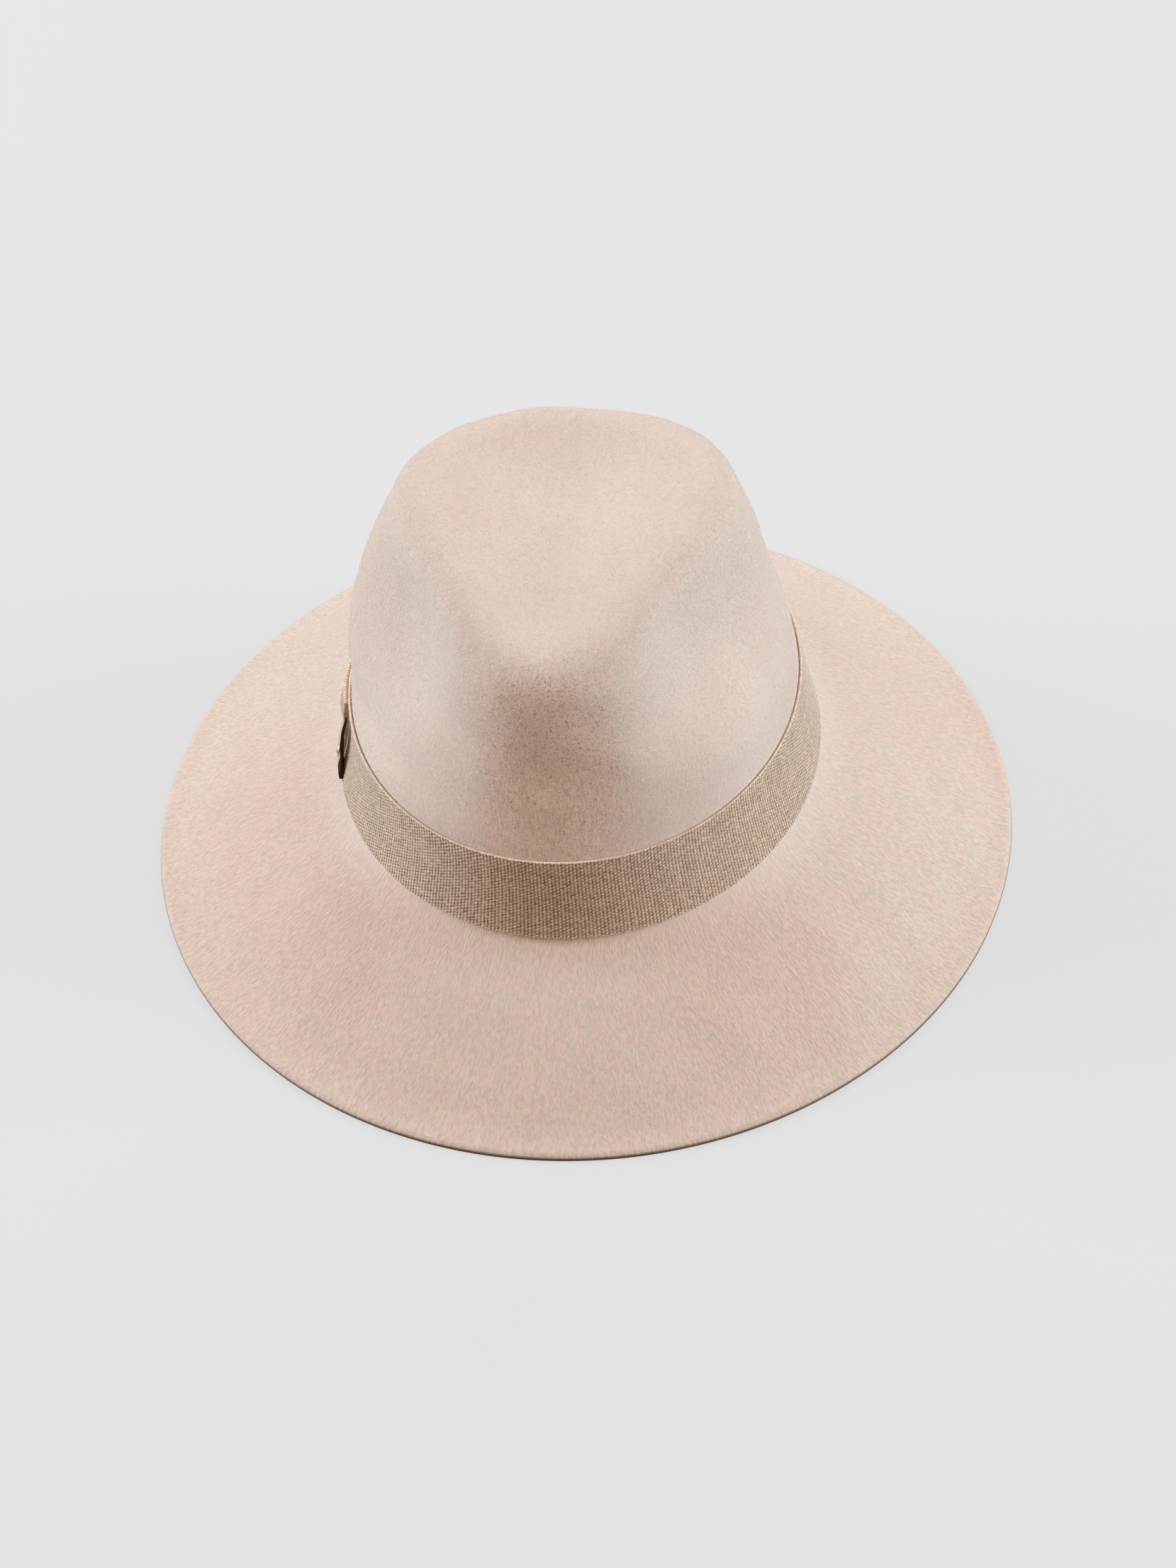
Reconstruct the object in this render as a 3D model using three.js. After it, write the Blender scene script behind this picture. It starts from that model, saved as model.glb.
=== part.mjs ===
// A wide-brimmed wool-felt hat with a pinched teardrop crown, a woven hat band,
// a leather tab over the join of the band and a small plain stud on the tab.
// Millimetres, +Z up. The front of the hat faces -Y, and the tab is on the -X side.
// The hat lies as it does by itself on a table: the cut edge of the brim is at z = 0,
// and the origin is the middle of the brim's outline.
import * as THREE from "three";

// Felt.
const feltThickness = 2; // pressed wool felt, with a raw cut edge
const restingWidth = 6; // the flat underside at the rim, where the brim lies on the table

// Each row is one closed ring round the hat, from the rim up over the crown to the middle
// of the dent. side, front and back are the ring's reach from the brim's middle; zSide, zFront
// and zBack its heights; point narrows the front half towards a teardrop, or widens it where it
// is under 0; square fills out the back corners (2 is an ellipse); lean shifts the ring to +X;
// steps is the number of facets from the row before.
const columns = ["side", "front", "back", "zSide", "zFront", "zBack", "point", "square", "lean", "steps"];
const ringTable = {
  rim: [159, 166, 166, 0, 0, 0, 0, 2, 0, 0],
  edge: [154, 161, 161, 1.9, 2, 2, 0, 2, 0, 1],
  brim_outer: [136, 145, 145.5, 12.4, 12.2, 12.2, 0, 2, 0, 2],
  brim_inner: [110, 122, 123, 26.6, 26.2, 26.2, 0, 2, 0, 2],
  break: [92.5, 106, 109, 35.5, 35.5, 35.5, 0, 2, 0, 2],
  band_bottom: [87, 100.3, 104, 40.5, 40.5, 40.5, 0, 2, 0, 1],
  band_foot: [85.7, 99.2, 102.8, 45, 45, 45, 0, 2, 0, 1],
  band_top: [80.6, 95, 96.8, 73, 73, 73, 0, 2, -0.6, 2],
  wall_mid: [77, 87.4, 93, 99, 102, 94, -0.14, 1.83, -3, 3],
  wall_high: [71, 80.5, 85.7, 137, 138, 124.5, 0.21, 1.85, -2.5, 3],
  shoulder: [64, 75.6, 73.5, 148.5, 143.4, 136.5, 0.25, 2.02, -1.8, 3],
  ridge: [50.5, 67, 60.8, 153, 145.7, 143.8, 0.3, 2.02, -2, 2],
  dent_wall: [37.4, 52.2, 45.2, 150.2, 144.8, 141.3, 0.44, 2, -3.4, 2],
  dent_floor: [18, 24, 25, 145.3, 143.9, 140.8, 0.52, 2, -4.5, 2],
  centre: [0, 0, 0, 142.8, 142.8, 142.8, 0.4, 2, -2, 1],
};
const ringNames = Object.keys(ringTable);
const ringOf = (row) => Object.fromEntries(columns.map((name, i) => [name, row[i]]));
const rings = Object.values(ringTable).map(ringOf);

// The two thumb pinches beside the nose. azimuth is in degrees from +X and z the height of the
// deepest place; toNose and toBack are its half widths in degrees round the crown, above and
// below its half heights, depth how far the felt is pushed towards the axis.
const pinches = [
  { azimuth: -38.5, z: 119, toNose: 22, toBack: 37, above: 36.5, below: 20.5, depth: 12.8 },
  { azimuth: -137, z: 116, toNose: 29, toBack: 34, above: 30, below: 33, depth: 18.5 },
];
const pinchFade = 11; // above the band's top edge the pinches come in over this height

const ringFacets = 88;
const lapFacets = 12;
const tabFacets = 4;
const studFacets = 14;

// Band, tab and stud. Offsets are measured outwards from the felt.
const gap = 0.3;
const ribbonThickness = 1;
const lapFrom = 158; // azimuths of the ribbon's lapped end; it stops just behind the tab
const lapTo = 193.2;
const tabMiddle = 195.85; // azimuth of the tab
const tabWidth = 5.5;
const tabThickness = 1.7;
const tabTop = 0.5; // the tab's ends, measured down from the band's top edge
const tabBottom = 31;
const studRadius = 2.6;
const studHeight = 1.3;
const studDrop = 19; // from the band's top edge to the middle of the stud

const degrees = Math.PI / 180;
const clamp = (v, low, high) => Math.min(Math.max(v, low), high);
const smooth = (v) => {
  const u = clamp(v, 0, 1);
  return u * u * (3 - 2 * u);
};

// Distance of each ring from the rim, along the side profile.
const along = [0];
for (let i = 1; i < rings.length; i++) {
  const run = rings[i].side - rings[i - 1].side;
  const rise = rings[i].zSide - rings[i - 1].zSide;
  along.push(along[i - 1] + Math.hypot(run, rise));
}
const at = (name) => along[ringNames.indexOf(name)];
const bandTop = rings[ringNames.indexOf("band_top")];

// Slope of a column at ring i: the neighbouring slopes, weighted by the nearer stretch.
function slope(i, column) {
  const last = rings.length - 1;
  const rise = (k) => (rings[k + 1][column] - rings[k][column]) / (along[k + 1] - along[k]);
  if (i === 0) return rise(0);
  if (i === last) return column.startsWith("z") ? 0 : rise(last - 1);
  const before = along[i] - along[i - 1];
  const after = along[i + 1] - along[i];
  return (rise(i - 1) * after + rise(i) * before) / (before + after);
}

// A ring's values at distance d along the profile, smooth through the rows of the table.
function ringAt(d) {
  let i = 0;
  while (i < rings.length - 2 && d > along[i + 1]) i++;
  const h = along[i + 1] - along[i];
  const u = (d - along[i]) / h;
  const ring = {};
  for (const column of columns) {
    const a = rings[i][column];
    const b = rings[i + 1][column];
    ring[column] =
      a * (1 + 2 * u) * (1 - u) ** 2 +
      slope(i, column) * h * u * (1 - u) ** 2 +
      b * u * u * (3 - 2 * u) +
      slope(i + 1, column) * h * u * u * (u - 1);
  }
  return ring;
}

// How far the pinches push the felt in, at an azimuth in degrees, a height and a distance d.
function pushAt(azimuth, z, d) {
  const low = smooth((z - bandTop.zSide) / pinchFade);
  const high = smooth((at("dent_wall") - d) / (at("dent_wall") - at("shoulder")));
  let push = 0;
  for (const pinch of pinches) {
    const turn = ((azimuth - pinch.azimuth + 540) % 360) - 180;
    const towardsNose = Math.sign(-90 - pinch.azimuth) * turn > 0;
    const across = turn / (towardsNose ? pinch.toNose : pinch.toBack);
    const up = (z - pinch.z) / (z > pinch.z ? pinch.above : pinch.below);
    push += pinch.depth * Math.exp(-across * across - up * up) * low * high;
  }
  return push;
}

// A point of the felt's upper, outer face; theta is 0 at +X and runs anticlockwise.
function feltPoint(theta, d) {
  const ring = ringAt(d);
  const c = Math.cos(theta);
  const s = Math.sin(theta);
  const corner = 1 + (2 / ring.square - 1) * smooth((s + 0.35) / 0.9);
  const cx = Math.sign(c) * Math.abs(c) ** corner;
  const sy = Math.sign(s) * Math.abs(s) ** corner;
  const front = clamp(-s, 0, 1) ** 2;
  const back = clamp(s, 0, 1) ** 2;
  let x = ring.side * cx * (1 - ring.point * ((1 - s) / 2) ** 1.5);
  let y = (s < 0 ? ring.front : ring.back) * sy;
  const z = ring.zSide + (ring.zFront - ring.zSide) * front + (ring.zBack - ring.zSide) * back;
  const radius = Math.hypot(x, y);
  if (radius > 0) {
    const push = pushAt(Math.atan2(y, x) / degrees, z, d) / radius;
    x -= push * x;
    y -= push * y;
  }
  return new THREE.Vector3(x + ring.lean, y, z + feltThickness);
}

// The outward normal there, from two short steps across the face.
function feltNormal(theta, d) {
  const step = 0.2;
  const turn = step / bandTop.side;
  const across = feltPoint(theta + turn, d).sub(feltPoint(theta - turn, d));
  const up = feltPoint(theta, Math.min(d + step, along.at(-1))).sub(feltPoint(theta, d - step));
  return across.cross(up).normalize();
}

const offFelt = (theta, d, offset) => feltPoint(theta, d).addScaledVector(feltNormal(theta, d), offset);

// Geometry from a list of points and a list of triangles.
function geometry(points, faces) {
  const made = new THREE.BufferGeometry();
  made.setAttribute("position", new THREE.Float32BufferAttribute(points.flatMap((p) => p.toArray()), 3));
  made.setIndex(faces.flat());
  made.computeVertexNormals();
  return made;
}

// Two triangles for each square between two rows of vertex numbers.
function joinRows(faces, low, high) {
  for (let k = 0; k < low.length - 1; k++) {
    faces.push([low[k], low[k + 1], high[k + 1]], [low[k], high[k + 1], high[k]]);
  }
}

const closed = (row) => [...row, row[0]];

// The felt's shell: the outer face, the same rings set in by the thickness, and the cut edge.
function feltGeometry() {
  const stops = [0];
  rings.forEach((ring, i) => {
    for (let k = 1; k <= ring.steps; k++) {
      stops.push(along[i - 1] + ((along[i] - along[i - 1]) * k) / ring.steps);
    }
  });
  stops.pop();
  const points = [];
  const faces = [];
  const addRow = (place) => {
    const first = points.length;
    for (let k = 0; k < ringFacets; k++) points.push(place((k / ringFacets) * 2 * Math.PI));
    return closed(Array.from({ length: ringFacets }, (_, k) => first + k));
  };
  const underside = (theta, d) => {
    const top = feltPoint(theta, d);
    const inner = offFelt(theta, d, -feltThickness);
    if (d < restingWidth) inner.set(top.x, top.y, 0);
    inner.z = Math.max(inner.z, 0);
    return inner;
  };
  const outer = stops.map((d) => addRow((theta) => feltPoint(theta, d)));
  const inner = stops.map((d) => addRow((theta) => underside(theta, d)));
  for (let i = 1; i < stops.length; i++) {
    joinRows(faces, outer[i - 1], outer[i]);
    joinRows(faces, inner[i], inner[i - 1]);
  }
  joinRows(faces, inner[0], outer[0]);
  const top = feltPoint(0, along.at(-1));
  const topNumber = points.push(top) - 1;
  const under = points.push(top.clone().setZ(top.z - feltThickness)) - 1;
  for (let k = 0; k < ringFacets; k++) {
    faces.push([outer.at(-1)[k], outer.at(-1)[k + 1], topNumber]);
    faces.push([inner.at(-1)[k + 1], inner.at(-1)[k], under]);
  }
  return geometry(points, faces);
}

// A closed section of [d, offset] points, which go up the outer face and back down the inner one,
// carried round the felt between two azimuths, or all the way round without them.
function sweptGeometry(section, facets, fromAzimuth, toAzimuth) {
  const whole = fromAzimuth === undefined;
  const points = [];
  const faces = [];
  const rows = [];
  for (let k = 0; k < facets + (whole ? 0 : 1); k++) {
    const part = k / facets;
    const theta = whole ? part * 2 * Math.PI : (fromAzimuth + (toAzimuth - fromAzimuth) * part) * degrees;
    const first = points.length;
    for (const [d, offset] of section) points.push(offFelt(theta, d, offset));
    rows.push(closed(section.map((_, j) => first + j)));
  }
  for (let k = 1; k < rows.length; k++) joinRows(faces, rows[k], rows[k - 1]);
  if (whole) joinRows(faces, rows[0], rows.at(-1));
  else {
    const flat = section.map(([d, offset]) => new THREE.Vector2(offset, d));
    const ends = THREE.ShapeUtils.triangulateShape(flat, []);
    for (const [a, b, c] of ends) {
      faces.push([rows[0][a], rows[0][b], rows[0][c]]);
      faces.push([rows.at(-1)[a], rows.at(-1)[c], rows.at(-1)[b]]);
    }
  }
  return geometry(points, faces);
}

// A ribbon's section between two distances up the wall, lying at an offset from the felt.
function ribbonSection(offset) {
  const low = at("band_bottom");
  const high = at("band_top");
  const steps = 2;
  const face = Array.from({ length: steps + 1 }, (_, k) => low + ((high - low) * k) / steps);
  return [
    ...face.map((d) => [d, offset + ribbonThickness]),
    ...face.toReversed().map((d) => [d, offset]),
  ];
}

// The tab's section: a flat strip with its outer corners eased.
const tabInside = gap + ribbonThickness + gap;
const tabOutside = tabInside + tabThickness;
const tabCorner = 0.5;
function tabSection() {
  const high = at("band_top") - tabTop;
  const low = at("band_top") - tabBottom;
  const middle = (high + low) / 2;
  return [
    [low, tabInside],
    [low, tabOutside - tabCorner],
    [low + tabCorner, tabOutside],
    [middle, tabOutside],
    [high - tabCorner, tabOutside],
    [high, tabOutside - tabCorner],
    [high, tabInside],
    [middle, tabInside],
  ];
}

// A low domed button; the rows are parts of its radius and height.
function studGeometry() {
  const profile = [
    [0, 0],
    [1, 0],
    [1, 0.45],
    [0.8, 0.8],
    [0.4, 1],
    [0, 1],
  ];
  const outline = profile.map(([r, h]) => new THREE.Vector2(r * studRadius, h * studHeight));
  return new THREE.LatheGeometry(outline, studFacets);
}

const finishes = {
  wool_felt: { color: "#dccabd", roughness: 0.95, metalness: 0 },
  woven_ribbon: { color: "#a88f7c", roughness: 0.9, metalness: 0 },
  leather: { color: "#4a3024", roughness: 0.8, metalness: 0 },
  stud_metal: { color: "#cdbb95", roughness: 0.35, metalness: 1 },
};

const hat = new THREE.Group();

function addPiece(name, shape, finish) {
  const mesh = new THREE.Mesh(shape, new THREE.MeshStandardMaterial(finishes[finish]));
  mesh.name = name;
  hat.add(mesh);
  return mesh;
}

addPiece("felt_body", feltGeometry(), "wool_felt");
addPiece("hat_band", sweptGeometry(ribbonSection(gap), ringFacets), "woven_ribbon");
const lapSection = ribbonSection(2 * gap + ribbonThickness);
addPiece("band_end", sweptGeometry(lapSection, lapFacets, lapFrom, lapTo), "woven_ribbon");

const tabHalf = tabWidth / 2 / bandTop.side / degrees;
const tabShape = sweptGeometry(tabSection(), tabFacets, tabMiddle - tabHalf, tabMiddle + tabHalf);
addPiece("side_tab", tabShape, "leather");

const stud = addPiece("tab_stud", studGeometry(), "stud_metal");
const studPlace = at("band_top") - studDrop;
const studTheta = tabMiddle * degrees;
stud.quaternion.setFromUnitVectors(new THREE.Vector3(0, 1, 0), feltNormal(studTheta, studPlace));
stud.position.copy(offFelt(studTheta, studPlace, tabOutside + gap));

export default hat;
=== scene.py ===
"""A wide-brimmed wool-felt hat lying on its brim: felt with a brushed nap, a woven band with
a lapped end, a leather tab and a plain stud. Lengths are in millimetres until a mesh is made."""
import math

import bpy
import numpy as np
from mathutils import Matrix, Vector


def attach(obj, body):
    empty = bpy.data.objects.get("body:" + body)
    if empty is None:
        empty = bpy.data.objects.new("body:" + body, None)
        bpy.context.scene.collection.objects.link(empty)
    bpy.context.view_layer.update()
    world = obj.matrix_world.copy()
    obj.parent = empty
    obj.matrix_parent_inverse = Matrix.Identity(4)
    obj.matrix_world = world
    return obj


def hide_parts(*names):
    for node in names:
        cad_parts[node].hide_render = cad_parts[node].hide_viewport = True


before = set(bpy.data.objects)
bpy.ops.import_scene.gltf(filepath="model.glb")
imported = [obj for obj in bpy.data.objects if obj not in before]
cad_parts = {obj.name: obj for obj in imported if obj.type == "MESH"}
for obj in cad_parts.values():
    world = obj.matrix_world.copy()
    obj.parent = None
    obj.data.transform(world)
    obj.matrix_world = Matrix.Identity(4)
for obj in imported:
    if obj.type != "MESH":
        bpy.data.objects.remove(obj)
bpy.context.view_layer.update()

MM = 0.001
SEED = 11

# Felt: the rings of the hat's form, from the rim over the crown to the middle of the dent.
# side, front and back are a ring's reach from the brim's middle, then its heights there; point
# narrows the front half towards a teardrop, square fills the back corners, lean shifts to +X.
FELT_THICKNESS = 2.0
RESTING_WIDTH = 6.0  # how far in from the rim the underside lies flat
COLUMNS = ("side", "front", "back", "z_side", "z_front", "z_back", "point", "square", "lean")
RINGS = {
    "rim":         (159.0, 166.0, 166.0, 0.0, 0.0, 0.0, 0.00, 2.0, 0.0),
    "edge":        (154.0, 161.0, 161.0, 1.9, 2.0, 2.0, 0.00, 2.0, 0.0),
    "brim_outer":  (136.0, 145.0, 145.5, 12.4, 12.2, 12.2, 0.00, 2.0, 0.0),
    "brim_inner":  (110.0, 122.0, 123.0, 26.6, 26.2, 26.2, 0.00, 2.0, 0.0),
    "break":       (92.5, 106.0, 109.0, 35.5, 35.5, 35.5, 0.00, 2.0, 0.0),
    "band_bottom": (87.0, 100.3, 104.0, 40.5, 40.5, 40.5, 0.00, 2.0, 0.0),
    "band_foot":   (85.7, 99.2, 102.8, 45.0, 45.0, 45.0, 0.00, 2.0, 0.0),
    "band_top":    (80.6, 95.0, 96.8, 73.0, 73.0, 73.0, 0.00, 2.0, -0.6),
    "wall_mid":    (77.0, 87.4, 93.0, 99.0, 102.0, 94.0, -0.14, 1.83, -3.0),
    "wall_high":   (71.0, 80.5, 85.7, 137.0, 138.0, 124.5, 0.21, 1.85, -2.5),
    "shoulder":    (64.0, 75.6, 73.5, 148.5, 143.4, 136.5, 0.25, 2.02, -1.8),
    "ridge":       (50.5, 67.0, 60.8, 153.0, 145.7, 143.8, 0.30, 2.02, -2.0),
    "dent_wall":   (37.4, 52.2, 45.2, 150.2, 144.8, 141.3, 0.44, 2.00, -3.4),
    "dent_floor":  (18.0, 24.0, 25.0, 145.3, 143.9, 140.8, 0.52, 2.00, -4.5),
    "centre":      (0.0, 0.0, 0.0, 142.8, 142.8, 142.8, 0.40, 2.00, -2.0),
}
POINT_POWER = 1.5  # how suddenly the teardrop narrows towards the nose
CORNER_FROM, CORNER_SPAN = -0.35, 0.9  # the sine of theta where the square corners begin and grow
# The thumb pinches beside the nose: azimuth, height, half widths towards the nose and the
# back in degrees, half heights above and below, depth.
PINCHES = (
    (-38.5, 119.0, 22.0, 37.0, 36.5, 20.5, 12.8),
    (-137.0, 116.0, 29.0, 34.0, 30.0, 33.0, 18.5),
)
PINCH_FADE = 11.0  # they fade in over this height above the band
NOSE_AZIMUTH = -90
NORMAL_STEP, NORMAL_RADIUS = 0.2, 60.0  # a normal is measured over this stretch, at this radius

# Band, tab and stud, as offsets from the felt.
GAP = 0.3
RIBBON_THICKNESS = 1.0
LAP_FROM, LAP_TO = 158.0, 193.2
TAB_MIDDLE, TAB_WIDTH = 195.85, 5.5
STUD_RADIUS, STUD_HEIGHT, STUD_DROP = 2.6, 1.3, 19.0


def smooth(v):
    u = np.clip(v, 0, 1)
    return u * u * (3 - 2 * u)


def unit(vectors):
    return vectors / np.maximum(np.linalg.norm(vectors, axis=-1, keepdims=True), 1e-9)


# The profile's length is measured along the side, from ring to ring.
TABLE = np.array(list(RINGS.values()))
BAND_TOP = dict(zip(COLUMNS, RINGS["band_top"]))
SIDE_LINE = TABLE[:, [COLUMNS.index("side"), COLUMNS.index("z_side")]]
ALONG = np.concatenate([[0], np.cumsum(np.hypot(*np.diff(SIDE_LINE, axis=0).T))])
AT = dict(zip(RINGS, ALONG))


def ring_slopes():
    """Slope of each column at each ring: the neighbouring slopes, weighted by the nearer stretch."""
    h = np.diff(ALONG)[:, None]
    rise = np.diff(TABLE, axis=0) / h
    inner = (rise[:-1] * h[1:] + rise[1:] * h[:-1]) / (h[:-1] + h[1:])
    last = rise[-1].copy()
    last[COLUMNS.index("z_side") : COLUMNS.index("z_back") + 1] = 0  # the centre lies level
    return np.concatenate([rise[:1], inner, last[None]])


SLOPES = ring_slopes()


def ring_at(d):
    """The columns at distance d along the profile."""
    i = np.clip(np.searchsorted(ALONG, d, side="right") - 1, 0, len(ALONG) - 2)
    h = (ALONG[i + 1] - ALONG[i])[..., None]
    u = (d - ALONG[i])[..., None] / h
    ring = (
        TABLE[i] * (1 + 2 * u) * (1 - u) ** 2
        + SLOPES[i] * h * u * (1 - u) ** 2
        + TABLE[i + 1] * u * u * (3 - 2 * u)
        + SLOPES[i + 1] * h * u * u * (u - 1)
    )
    return dict(zip(COLUMNS, np.moveaxis(ring, -1, 0)))


def push_at(azimuth, z, d):
    """How far the pinches push the felt in."""
    low = smooth((z - BAND_TOP["z_side"]) / PINCH_FADE)
    high = smooth((AT["dent_wall"] - d) / (AT["dent_wall"] - AT["shoulder"]))
    push = 0
    for middle, height, to_nose, to_back, above, below, depth in PINCHES:
        turn = (azimuth - middle + 180) % 360 - 180
        across = turn / np.where(np.sign(NOSE_AZIMUTH - middle) * turn > 0, to_nose, to_back)
        up = (z - height) / np.where(z > height, above, below)
        push = push + depth * np.exp(-across**2 - up**2) * low * high
    return push


def felt_point(theta, d):
    """Points of the felt's outer face, in millimetres; theta is 0 at +X, anticlockwise."""
    ring = ring_at(d)
    c, s = np.cos(theta), np.sin(theta)
    corner = 1 + (2 / ring["square"] - 1) * smooth((s - CORNER_FROM) / CORNER_SPAN)
    cx = np.sign(c) * np.abs(c) ** corner
    sy = np.sign(s) * np.abs(s) ** corner
    x = ring["side"] * cx * (1 - ring["point"] * ((1 - s) / 2) ** POINT_POWER)
    y = np.where(s < 0, ring["front"], ring["back"]) * sy
    z = ring["z_side"] + np.where(
        s < 0,
        (ring["z_front"] - ring["z_side"]) * s * s,
        (ring["z_back"] - ring["z_side"]) * s * s,
    )
    radius = np.maximum(np.hypot(x, y), 1e-6)
    push = push_at(np.degrees(np.arctan2(y, x)), z, d) / radius
    return np.stack([x - push * x + ring["lean"], y - push * y, z + FELT_THICKNESS], -1)


def felt_normal(theta, d):
    turn = NORMAL_STEP / NORMAL_RADIUS
    around = felt_point(theta + turn, d) - felt_point(theta - turn, d)
    up = felt_point(theta, np.minimum(d + NORMAL_STEP, ALONG[-1])) - felt_point(theta, d - NORMAL_STEP)
    return unit(np.cross(around, up))


def off_felt(theta, d, offset):
    return felt_point(theta, d) + felt_normal(theta, d) * np.asarray(offset)[..., None]


# Mesh making.


def make_piece(name, points, faces, material, node=None, fields=None, normals=None):
    """A mesh object from points in millimetres, riding on the hat's one body. Fields are kept at
    its points for the material, and normals, where given, shade it in place of its own."""
    mesh = bpy.data.meshes.new(name)
    faces = np.asarray(faces)
    corners = faces.shape[1]
    mesh.vertices.add(len(points))
    mesh.vertices.foreach_set("co", (np.asarray(points) * MM).astype(np.float32).ravel())
    mesh.loops.add(faces.size)
    mesh.loops.foreach_set("vertex_index", faces.astype(np.int32).ravel())
    mesh.polygons.add(len(faces))
    mesh.polygons.foreach_set("loop_start", np.arange(0, faces.size, corners, dtype=np.int32))
    mesh.polygons.foreach_set("use_smooth", np.full(len(faces), True))
    for field, values in (fields or {}).items():
        values = np.asarray(values, np.float32)
        kind, slot = ("FLOAT", "value") if values.ndim == 1 else ("FLOAT_VECTOR", "vector")
        mesh.attributes.new(field, kind, "POINT").data.foreach_set(slot, values.ravel())
    mesh.update(calc_edges=True)
    mesh.validate()
    if normals is not None:
        mesh.normals_split_custom_set_from_vertices(normals)
    mesh.materials.append(material)
    piece = bpy.data.objects.new(name, mesh)
    bpy.context.scene.collection.objects.link(piece)
    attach(piece, "root")
    if node:
        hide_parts(node)
    return piece


def grid_faces(rows, columns, first=0, wrap=True, flip=False):
    """Quads between rows of points; wrap joins the last column to the first."""
    steps = columns if wrap else columns - 1
    i, j = np.meshgrid(np.arange(rows - 1), np.arange(steps), indexing="ij")
    k = (j + 1) % columns
    low, high = i * columns, (i + 1) * columns
    quads = np.stack([low + j, low + k, high + k, high + j], -1).reshape(-1, 4) + first
    return quads[:, ::-1] if flip else quads


def halved(quads):
    """Two triangles for each quad."""
    return np.concatenate([quads[:, [0, 1, 2]], quads[:, [0, 2, 3]]])


def fan(ring, ring_next, pole):
    """Triangles from a ring's points to one point."""
    return np.stack([ring, ring_next, np.full(len(ring), pole)], -1)


def closed_faces(rows, sides):
    """Triangles of a closed form: its rows of points, then one more point at either end."""
    k = np.arange(sides)
    n = (k + 1) % sides
    last = (rows - 1) * sides
    ends = [fan(n, k, rows * sides), fan(last + k, last + n, rows * sides + 1)]
    return np.concatenate([halved(grid_faces(rows, sides)), *ends])


# Materials.


def linear(colour):
    """sRGB hex to a linear colour."""
    parts = [int(colour[i : i + 2], 16) / 255 for i in (1, 3, 5)]
    return [p / 12.92 if p <= 0.04045 else ((p + 0.055) / 1.055) ** 2.4 for p in parts] + [1.0]


def add(tree, kind, inputs=None, stops=None, **settings):
    """A node with its settings, and its inputs set to numbers or joined to sockets. A ramp's
    stops are places and colours in order. Mix has its factor at 0, numbers at 2 and 3 and
    colours at 6 and 7."""
    node = tree.nodes.new("ShaderNode" + kind)
    for name, value in settings.items():
        setattr(node, name, value)
    if stops:
        elements = node.color_ramp.elements
        elements[0].position, elements[1].position = stops[0][0], stops[-1][0]
        for position, _ in stops[1:-1]:
            elements.new(position)
        for element, (_, colour) in zip(elements, stops):
            element.color = linear(colour) if isinstance(colour, str) else colour
    for name, value in (inputs or {}).items():
        socket = node.inputs[name]
        if isinstance(value, bpy.types.NodeSocket):
            tree.links.new(value, socket)
        elif isinstance(value, str):
            socket.default_value = linear(value)
        else:
            socket.default_value = value
    return node


def new_material(name):
    made = bpy.data.materials.new(name)
    made.use_nodes = True
    made.node_tree.nodes.clear()
    return made, made.node_tree


def per_mm(size):
    """Noise scale for features of about that size, in object coordinates in metres."""
    return 1.0 / (size * MM)


# Sizes of the wool's patterns. A fibre is about 0.02 mm thick, too fine to show, so its locks,
# curls and grain are drawn as coarse as they show.
WOOL_BLOTCH, WOOL_STREAK, WOOL_CURL, WOOL_GRAIN = 5.0, 0.8, 1.15, 0.4
NAP_HOLLOW, NAP_CREST = 0.38, 0.6  # the nap's values in its hollows and on its crests
NAP_RELIEF = 0.6
# Painted shade and light on the nose: what the wool's colour is multiplied by in the nap's hollows and on its
# crests.
NOSE_SHADED_HOLLOW, NOSE_LIT_CREST = (0.66, 0.56, 0.50, 1), (1.24, 1.20, 1.16, 1)


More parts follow.
